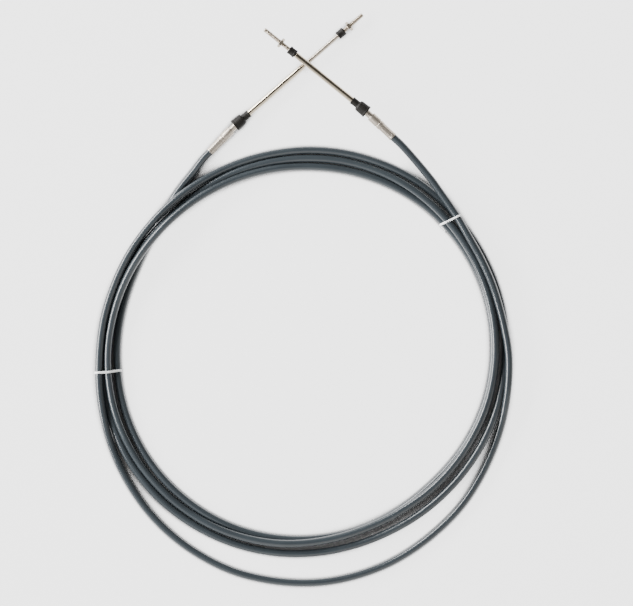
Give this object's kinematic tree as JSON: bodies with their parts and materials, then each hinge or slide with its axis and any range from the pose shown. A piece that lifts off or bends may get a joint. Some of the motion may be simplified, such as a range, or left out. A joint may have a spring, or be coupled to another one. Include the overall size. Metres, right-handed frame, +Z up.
{
  "type": "push-pull control cable",
  "caption": "Stiff jacketed push-pull control cable coiled for storage and tied, with a hub, boot, swivelling sleeve and sliding threaded rod at each end.",
  "frame": {"origin": "centre of the bounding box's base, on the floor that the cable lies on", "axes": "+Z up from the floor, +Y from the coil towards the two end fittings, +X towards end B's side of the coil"},
  "size_m": [0.4419, 0.607, 0.0225],
  "materials": {
    "jacket": "satin",
    "tie": "satin",
    "hub": "turned and plated",
    "boot": "moulded",
    "sleeve": "polished",
    "rod": "polished",
    "nut": "satin"
  },
  "bodies": {
    "cable": {"coil": "jacket", "lead_a": "jacket", "last_turn": "jacket", "tie_left": "tie", "tie_right": "tie", "hub_a": "hub", "hub_b": "hub"},
    "sleeve_end_a": {"boot_a": "boot", "sleeve_a": "sleeve"},
    "rod_end_a": {"rod_a": "rod", "jam_nut_a": "nut", "rod_seal_a": "boot"},
    "sleeve_end_b": {"boot_b": "boot", "sleeve_b": "sleeve"},
    "rod_end_b": {"rod_b": "rod", "jam_nut_b": "nut", "rod_seal_b": "boot"}
  },
  "joints": [
    {"name": "swivel_a", "type": "hinge", "parent": "cable", "child": "sleeve_end_a", "pos_m": [-0.0692, 0.1875, 0.007], "axis": [0, 0, 1], "range_deg": [-3, 13]},
    {"name": "rod_slide_a", "type": "slide", "parent": "sleeve_end_a", "child": "rod_end_a", "axis": [0.7547, 0.6561, 0], "range_m": [-0.048, 0]},
    {"name": "swivel_b", "type": "hinge", "parent": "cable", "child": "sleeve_end_b", "pos_m": [0.0633, 0.2015, 0.01461], "axis": [0, 0, 1], "range_deg": [-12.4, 3.6]},
    {"name": "rod_slide_b", "type": "slide", "parent": "sleeve_end_b", "child": "rod_end_b", "axis": [-0.779, 0.6264, 0.0279], "range_m": [0, 0.048]}
  ],
  "couplings": [
    {"joint": "rod_slide_b", "follows": "rod_slide_a", "ratio": -1}
  ]
}
